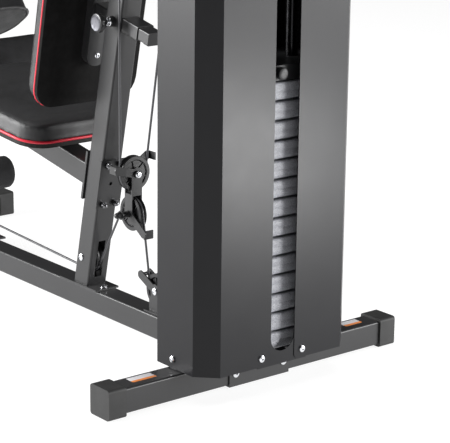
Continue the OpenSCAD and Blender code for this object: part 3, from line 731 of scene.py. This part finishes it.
def wheel(name, node, body, x, s, z, turned=False):
    """A wheel on the X axis, or on the Y axis if turned."""
    place = Matrix.Translation(station(x, s, z))
    if turned:
        place = place @ QUARTER
    bm = bmesh.new()
    wheel_mesh(bm, place)
    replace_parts(add_piece(name, bm, NYLON, body, angle=30), node)


for key, (s, z) in (("foot", FOOT), ("base", BASE), ("mid", MID), ("front", FRONT)):
    wheel(f"{key}_sheave", f"{key}_pulley_wheel", f"{key}_wheel", 0, s, z)
for key, x, s in (("front", 0, TOP_FRONT_S), ("mid", RUN_R, TOP_MID_S), ("rear", 0, TOP_REAR_S)):
    wheel(f"top_{key}_sheave", f"top_{key}_wheel", f"top_{key}", x, s, TOP_Z)
wheel("block_upper_sheave", "block_upper_wheel", "block_upper", 0, *BLOCK_HIGH, turned=True)
wheel("block_lower_sheave", "block_lower_wheel", "block_lower", 0, *BLOCK_LOW)


# ---- Cables
def arc(s, z, start, end, x=0.0):
    """Cable round a wheel on the X axis, between two angles from the rear up."""
    n = max(2, math.ceil(abs(end - start) / 6))
    out = []
    for i in range(n + 1):
        t = math.radians(start + (end - start) * i / n)
        out.append(station(x, s - RUN_R * math.cos(t), z + RUN_R * math.sin(t)))
    return out


def spread(points):
    """Adds points on long straight stretches, no more than 3 cm apart."""
    gap = 0.03
    out = [points[0]]
    for p in points[1:]:
        n = max(1, math.ceil((p - out[-1]).length / gap))
        start = out[-1]
        out += [start.lerp(p, i / n) for i in range(1, n + 1)]
    return out


def cross_angle(p, q, side):
    """Angle at which the crossed tangent between wheels p and q leaves p."""
    dx, dz = p[0] - q[0], q[1] - p[1]
    return math.degrees(math.atan2(dz, dx)) + side * math.degrees(
        math.acos(2 * RUN_R / math.hypot(dx, dz)))


def cable(name, paths, body=None, blend=None):
    """Coated cable along each path, on a body, or with no body and its transform baked in when
    blend is given.
    """
    bm = bmesh.new()
    for path in paths:
        sweep(bm, spread(path), CABLE_R * MM)
    obj = add_piece(name, bm, CABLE, body, angle=180)
    if blend:
        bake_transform(obj)
    return obj


def strand(name, near, far, start, end):
    """A straight stretch from one body to another."""
    return cable(name, [[start, end]], blend=(near, far, start, end))


FRONT_LEAVE = cross_angle(BLOCK_LOW, FOOT, -1)
REAR_LEAVE = cross_angle(BLOCK_LOW, BASE, 1)
FRONT_RISE = math.degrees(math.asin((FRONT[1] - FOOT[1]) / (FRONT[0] - FOOT[0])))


def high_cable():
    over = TOP_Z + RUN_R
    crossing = [station(RUN_R * 0.9, TOP_MID_S + 30, over),
                station(RUN_R * 0.1, TOP_FRONT_S - 40, over)]
    front = arc(TOP_MID_S, TOP_Z, 0, 84, RUN_R) + crossing + arc(TOP_FRONT_S, TOP_Z, 90, 180)
    rear = arc(TOP_REAR_S, TOP_Z, 0, 180)
    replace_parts(cable("high_cable_run", [front, rear], "frame"), "high_cable")


def low_cable():
    front = arc(*FOOT, FRONT_LEAVE + 180, -90 - FRONT_RISE) + arc(*FRONT, -90 - FRONT_RISE, -90)
    front.append(station(0, POST_S + 31, FRONT[1] - RUN_R))
    rear = arc(*BASE, REAR_LEAVE + 180, 360) + arc(*MID, 0, 90)
    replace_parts(cable("low_cable_run", [front, rear], "frame"), "low_cable")


def press_cable():
    hook_z = MID_Z + RUN_R
    hook_s = UPRIGHT_S - hook_z * math.tan(LEAN) + TUBE / 2 + 9
    strand("press_cable_end", "frame", "press", station(0, MID[0], hook_z),
           station(0, hook_s, hook_z))


def block_cables():
    x0, s0, z0 = RUN_R, BLOCK_S, BLOCK_HIGH[1]
    loop = [station(x0, s0, STRAND_TOP)]
    for t in range(0, 181, 6):
        a = math.radians(t)
        loop.append(station(x0 * math.cos(a), s0, z0 - RUN_R * math.sin(a)))
    loop += [station(-x0, 411.4, 354), station(0, 92, STRAND_TOP)]
    upper = cable("block_cable_upper", [loop],
                  blend=("frame", "block", station(0, s0, STRAND_TOP), station(0, s0, 352)))
    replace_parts(upper, "block_cables")
    loop = [arc(*FOOT, FRONT_LEAVE + 180, FRONT_LEAVE + 186)[0]]
    loop += arc(*BLOCK_LOW, FRONT_LEAVE + 360, REAR_LEAVE)
    loop += [arc(*BASE, REAR_LEAVE + 180, REAR_LEAVE + 186)[0]]
    cable("block_cable_lower", [loop],
          blend=("frame", "block", station(0, s0, 138), station(0, s0, 232)))


high_cable()
low_cable()
press_cable()
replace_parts(strand("lat_cable_run", "frame", "lat", station(0, LAT_S, STRAND_TOP),
                   station(0, LAT_S, 1841)), "lat_cable")
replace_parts(strand("stack_cable_run", "frame", "stack", station(0, STACK_S, STRAND_TOP),
                   station(0, STACK_S, TOP_PLATE_Z + 79)), "stack_cable")
block_cables()
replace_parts(strand("leg_cable_run", "frame", "leg",
                   station(0, POST_S + 31.3, FRONT[1] - RUN_R),
                   station(0, 1179, FRONT[1] - RUN_R)), "leg_cable")


# ---- Knobs of the pull pins and the selector
def knob(name, body, node, place, tip):
    """Fluted knob on a pull pin, with a bright ring at the collar and a grey end disc."""
    def flutes(x, a):
        return 0.7 * math.cos(a * 12) if 52 < x < 64 else 0.0

    start = 46
    bm = bmesh.new()
    profile = [(start - 6, 4), (start, 4), (start, 10), (start + 1.5, 12.5), (start + 6, 13.5),
               (start + 8, 15), (start + 10, 18.4), (start + 13, 19.6), (start + 18, 19.8),
               (start + 20, 19.2), (start + 21, 17.6)]
    cap_ends(bm, lathe(bm, profile, place, 72, flutes))
    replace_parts(add_piece(name, bm, KNOB, body, angle=35), node)
    bm = bmesh.new()
    profile = [(start + 20.6, 16.8), (start + 21.6, 16.4), (start + 22, 15.6),
               (start + 21.6, 14.6), (start + 21.2, 13.4), (start + 21.5, 6), (start + 21.2, 1.5)]
    cap_ends(bm, lathe(bm, profile, place, 48))
    add_piece(name + "_disc", bm, DISC, body, angle=30)
    bm = bmesh.new()
    cap_ends(bm, lathe(bm, [(tip, 3.9), (start - 6.2, 3.9)], place, 32))
    lathe(bm, [(start - 12, 5.0), (start - 12, 8.2), (start - 10.6, 9.2), (start - 9.2, 8.2),
               (start - 9.2, 5.0)], place, 40)
    add_piece(name + "_shank", bm, ZINC, body, angle=35)


knob("backrest_knob", "backrest_pull", "backrest_pin", BACK, 18.2)
knob("preacher_knob", "preacher_pull", "preacher_pin",
     Matrix.Translation(station(0, PREACHER_S, 412)), 19.4)


def selector_knob():
    """Selector pin along +Y with a mushroom head."""
    place = Matrix.Translation(station(0, STACK_S, TOP_PLATE_Z + 14)) @ QUARTER
    profile = [(-10, 3.6), (-9, 4.7), (70, 4.7), (70.4, 8), (72, 11), (75, 11.9), (80, 11.9),
               (83, 10.8), (84.4, 8), (84.5, 4)]
    bm = bmesh.new()
    cap_ends(bm, lathe(bm, profile, place))
    head = add_piece("selector_knob", bm, TOP_PLATE, "selector")
    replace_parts(head, "selector_pin")


selector_knob()


# ---- Ribbed grips
def grip(name, body, place, length, radius, start=0.0):
    """A grip with a groove every 6 mm."""
    rib = 6.0
    profile = [(start, radius - 3), (start + 0.6, radius - 0.8), (start + 2, radius)]
    x = start + 8
    while x < start + length - 10:
        profile += [(x, radius), (x + 0.8, radius - 1.1), (x + 2.0, radius - 1.1),
                    (x + 2.8, radius)]
        x += rib
    end = start + length
    profile += [(end - 3, radius), (end - 1, radius - 1.2), (end, radius - 4)]
    bm = bmesh.new()
    cap_ends(bm, lathe(bm, profile, place, 40))
    return add_piece(name, bm, GRIP, body, angle=30)


BAR = Matrix.Translation(station(0, LAT_S, 1765))
PRESS = local(300, 1650, -12)


def lat_grip(mirror, word):
    place = (BAR @ mirror @ Matrix.Translation((0.330, 0, 0))
             @ Matrix.Rotation(math.radians(30), 4, "Y"))
    return grip(f"lat_grip_{word}", "lat", place, 144, 16.5, 50)


def press_grip(mirror, word):
    """A grip inwards from the end of a press arm, and the plug in the arm's end."""
    arm = (PRESS @ mirror @ Matrix.Translation((0.220, -0.060, -0.510))
           @ Matrix.Rotation(math.radians(90 + 50), 4, "X"))
    place = arm @ Matrix.Translation((-0.020, 0, 0.347)) @ Matrix.Rotation(math.pi, 4, "Z")
    piece = grip(f"press_grip_{word}", "press", place, 120, 16)
    square = rounded_rect(40, 40, 3, 4)
    rings = [(inset(square, 0.1), 375.2), (square, 376), (square, 378), (inset(square, 1.6), 379)]
    bm = bmesh.new()
    loft(bm, rings, arm, lambda x, y, h: (x, y, h))
    add_piece(f"press_plug_{word}", bm, CAP, "press")
    return piece


for side, word in ((1, "left"), (-1, "right")):
    mirror = Matrix.Diagonal((side, 1, 1, 1))
    pieces = lat_grip(mirror, word), press_grip(mirror, word)
    if side > 0:
        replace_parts(pieces[0], "lat_grips")
        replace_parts(pieces[1], "press_grips")


# ---- Small details
def label(name, x0, x1):
    """Thin blank label with an orange band, on top of the rear foot."""
    bm = bmesh.new()
    shape = [(x + (x0 + x1) / 2, y) for x, y in rounded_rect(abs(x1 - x0), 24, 2, 4)]
    loft(bm, [(shape, 55.05), (shape, 55.25), (inset(shape, 0.15), 55.3)],
         Matrix.Translation(station(0, 30, 0)), lambda x, y, h: (x, y, h))
    add_piece(name, bm, LABEL, "frame", angle=40)


label("label_left", 234, 289)
label("label_right", -291, -246)


def button_screw(name, place, body, radius=6.5):
    """Button head with a hexagon socket, along the local X axis."""
    sides = 36
    socket = 2.3        # half the width across flats
    bm = bmesh.new()
    profile = [(0, radius), (1.2, radius), (2.6, radius * 0.9), (3.6, radius * 0.7),
               (4.0, radius * 0.5)]
    rings = lathe(bm, profile, place, sides)
    inner = []
    for x in (4.0, 2.0):
        ring = []
        for k in range(sides):
            a = 2 * math.pi * k / sides
            r = socket / math.cos((a % (math.pi / 3)) - math.pi / 6)
            ring.append(bm.verts.new(place @ (Vector((x, r * math.cos(a), r * math.sin(a))) * MM)))
        inner.append(ring)
    for a, b in ((rings[-1], inner[0]), (inner[0], inner[1])):
        for k in range(sides):
            bm.faces.new((a[k], a[(k + 1) % sides], b[(k + 1) % sides], b[k]))
    bm.faces.new(inner[1])
    bm.faces.new(reversed(rings[0]))
    add_piece(name, bm, ZINC, body, angle=30)


for index, z in enumerate((-103.6, 176)):
    spot = BACK @ Matrix.Translation((0, -0.072, z * MM)) @ QUARTER
    button_screw(f"strap_screw_{index + 1}", spot, "backrest")
block_face = station(0, BLOCK_S - 18, BLOCK_HIGH[1])
button_screw("block_screw", Matrix.Translation(block_face) @ QUARTER, "block", 7.4)


# ---- Floor, lights and background
def floor():
    """Pale floor that glows a little, so that it reads as a white background."""
    bpy.ops.mesh.primitive_plane_add(size=60)
    obj = bpy.context.object
    obj.name = "floor"
    s = Surface("floor_paint", (0.30, 0.30, 0.30), 0.9, spec=0.0).mottle(3, 0.01)
    s.set(Emission_Color=(1, 1, 1, 1), Emission_Strength=0.86)
    obj.data.materials.append(s.mat)


def area(name, at, aim, size, power):
    """A rectangular softbox aimed at a point."""
    data = bpy.data.lights.new(name, "AREA")
    data.shape = "RECTANGLE"
    data.size, data.size_y = size
    data.energy = power
    obj = bpy.data.objects.new(name, data)
    bpy.context.scene.collection.objects.link(obj)
    obj.location = at
    obj.rotation_euler = (Vector(aim) - Vector(at)).to_track_quat("-Z", "Y").to_euler()


floor()
area("softbox_low", (-0.82, 1.90, 0.14), (0.1, 0.72, 0.40), (0.45, 0.25), 14)
area("softbox_rear", (-2.6, 3.0, 0.9), (0, 0.7, 0.4), (1.6, 1.2), 110)
area("softbox_side", (3.4, -2.4, 1.5), (0, 0, 0.5), (2.0, 2.4), 450)
area("softbox_top", (0, 0, 4.5), (0, 0, 0), (4, 4), 90)
world = bpy.data.worlds.new("studio")
world.use_nodes = True
background = world.node_tree.nodes["Background"]
background.inputs["Color"].default_value = (1, 1, 1, 1)
background.inputs["Strength"].default_value = 0.06
bpy.context.scene.world = world
bpy.context.scene.view_settings.view_transform = "Standard"
